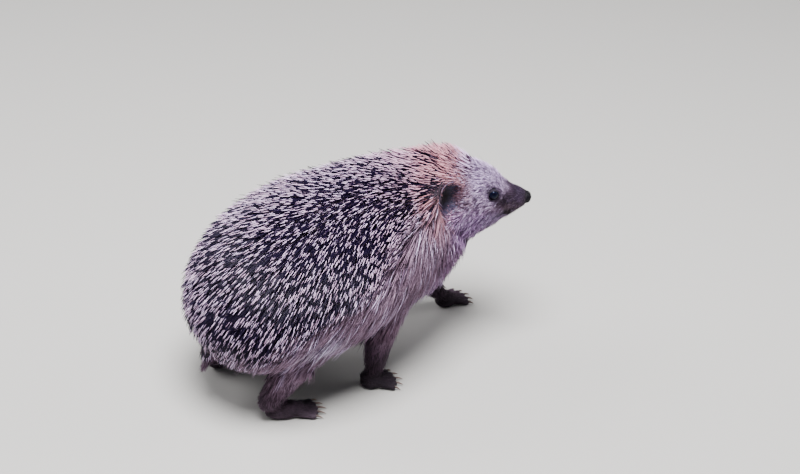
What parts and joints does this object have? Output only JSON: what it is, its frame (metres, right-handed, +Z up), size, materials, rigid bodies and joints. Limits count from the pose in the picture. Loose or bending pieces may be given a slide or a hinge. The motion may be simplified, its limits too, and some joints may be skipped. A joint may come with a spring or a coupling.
{
  "type": "hedgehog",
  "caption": "Adult European hedgehog at life size, halted in a walk with its head raised and turned to its right, quills lying flat.",
  "frame": {"origin": "on the floor, under the middle of the animal's bounding box", "axes": "+X towards the nose, along the animal's length; +Y towards the animal's left; +Z up"},
  "size_m": [0.2432, 0.13, 0.148],
  "materials": {
    "quills": "stiff horn quills banded cream and dark brown",
    "fur": "long coarse brown fur, paler at the fringe",
    "face_fur": "short greyish fur with a dark mask round the eyes and muzzle",
    "limb_skin": "thin dark brown fur over dark skin, with horn claws",
    "ear_skin": "thin dark grey skin with fine hair",
    "eye": "wet and black",
    "nose_skin": "moist black bare skin"
  },
  "bodies": {
    "root": {"mantle": "quills", "trunk": "fur", "neck": "fur", "tail": "limb_skin", "head": "face_fur", "lower_jaw": "face_fur", "nose": "nose_skin", "eye_left": "eye", "ear_left": "ear_skin", "eye_right": "eye", "ear_right": "ear_skin", "foreleg_right": "limb_skin", "forefoot_right": "limb_skin", "foreleg_left": "limb_skin", "forefoot_left": "limb_skin", "hindleg_right": "limb_skin", "hindfoot_right": "limb_skin", "hindleg_left": "limb_skin", "hindfoot_left": "limb_skin"}
  },
  "joints": []
}
